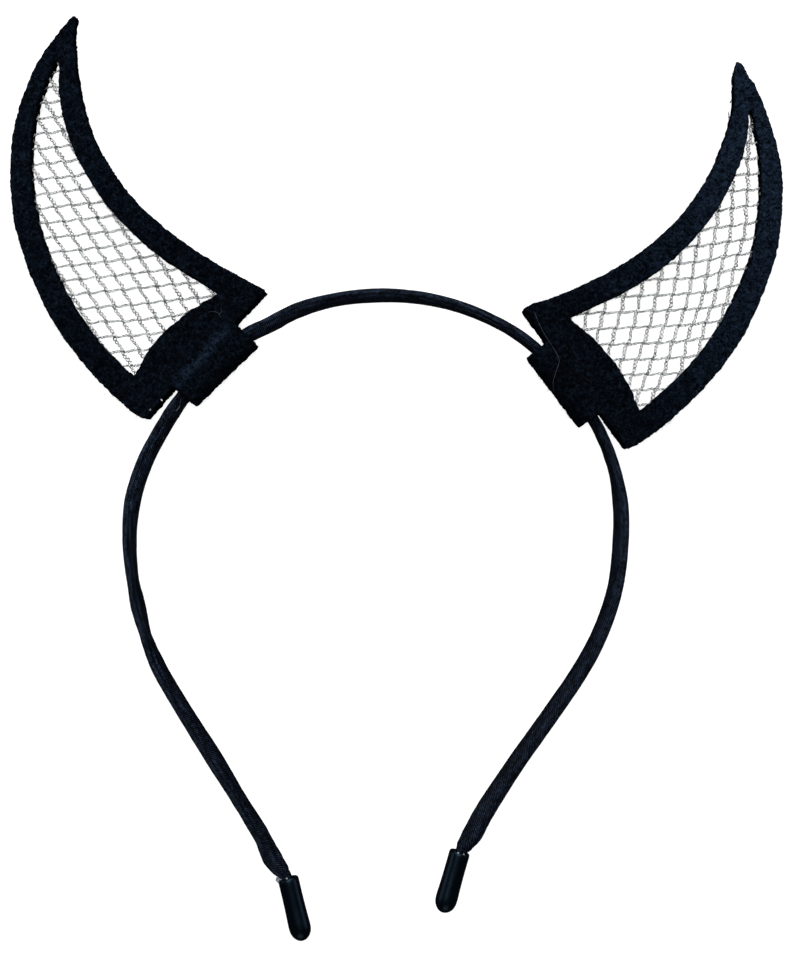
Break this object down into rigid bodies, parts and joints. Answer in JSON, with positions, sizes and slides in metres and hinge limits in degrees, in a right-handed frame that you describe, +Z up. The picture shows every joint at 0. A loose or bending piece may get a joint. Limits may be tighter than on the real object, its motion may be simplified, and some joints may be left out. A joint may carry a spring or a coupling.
{
  "type": "devil horns headband",
  "caption": "Thin satin covered costume headband with rubber end caps and upright felt devil horns that are filled with silvery net, lying flat.",
  "frame": {"origin": "middle of the outer box in X and Y, on the floor that the headband lies on", "axes": "+Z up from the floor, +Y from the end caps to the crown of the band, +X to the right of the picture"},
  "size_m": [0.1854, 0.223, 0.0089],
  "materials": {
    "satin": "black satin sleeve with a soft sheen",
    "cap_rubber": "glossy black rubber",
    "felt": "matt near-black felt",
    "silver_net": "silvery metallic thread"
  },
  "bodies": {
    "root": {"band": "satin", "end_cap_left": "cap_rubber", "end_cap_right": "cap_rubber", "horn_left_felt": "felt", "horn_left_net": "silver_net", "horn_right_felt": "felt", "horn_right_net": "silver_net"}
  },
  "joints": []
}
